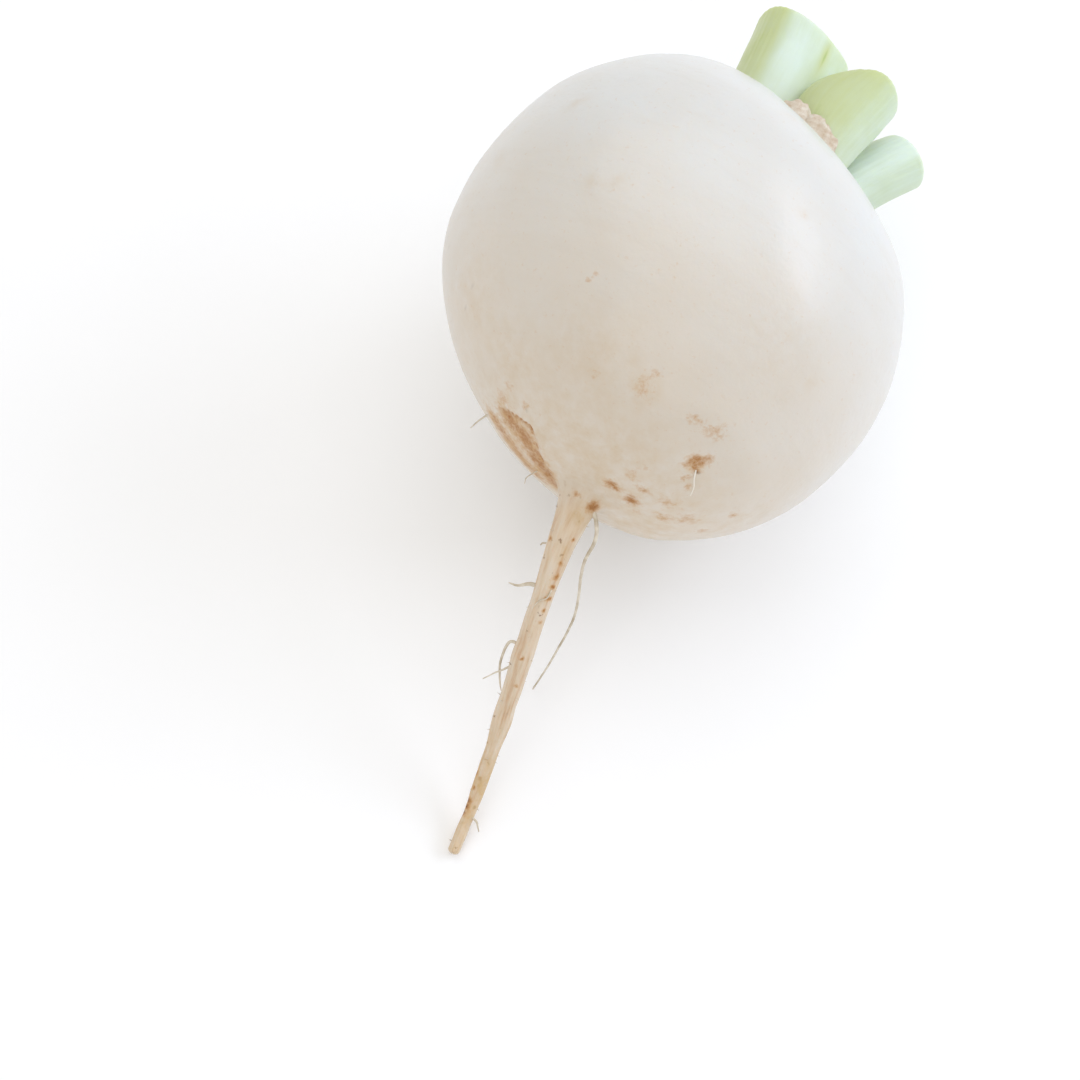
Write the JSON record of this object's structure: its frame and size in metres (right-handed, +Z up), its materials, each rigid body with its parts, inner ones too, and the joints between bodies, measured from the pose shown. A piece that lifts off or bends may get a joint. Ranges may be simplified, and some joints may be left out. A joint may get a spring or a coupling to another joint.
{
  "type": "turnip",
  "caption": "Whole white salad turnip lying on its side: a round bulb with its thin taproot, fine side roots and short cut leaf stalks, for still lifes and food scenes.",
  "frame": {"origin": "middle of the small flat spot under the bulb, on the surface that it lies on", "axes": "+Z up from that surface; the turnip lies along Y, its crown and leaf stalks towards +Y and its taproot towards -Y"},
  "size_m": [0.0816, 0.1521, 0.0789],
  "materials": {
    "turnip_skin": "smooth moist white root skin with a soft sheen, tan towards the taproot, with brown soil stains",
    "leaf_stalk": "waxy pale green ribbed leaf stalk with a moist pale cut end",
    "dry_leaf_base": "dry papery beige-brown scar tissue",
    "side_root": "dry thin rootlet, cream to brown"
  },
  "bodies": {
    "root": {"bulb_and_taproot": "turnip_skin", "leaf_stalk_1": "leaf_stalk", "leaf_stalk_2": "leaf_stalk", "leaf_stalk_3": "leaf_stalk", "leaf_stalk_4": "leaf_stalk", "leaf_stalk_5": "leaf_stalk", "crown_bud": "leaf_stalk", "old_leaf_base_1": "dry_leaf_base", "old_leaf_base_2": "dry_leaf_base", "side_root_long": "side_root", "side_root_spike": "side_root", "side_root_fork": "side_root", "side_root_tip": "side_root"}
  },
  "joints": []
}
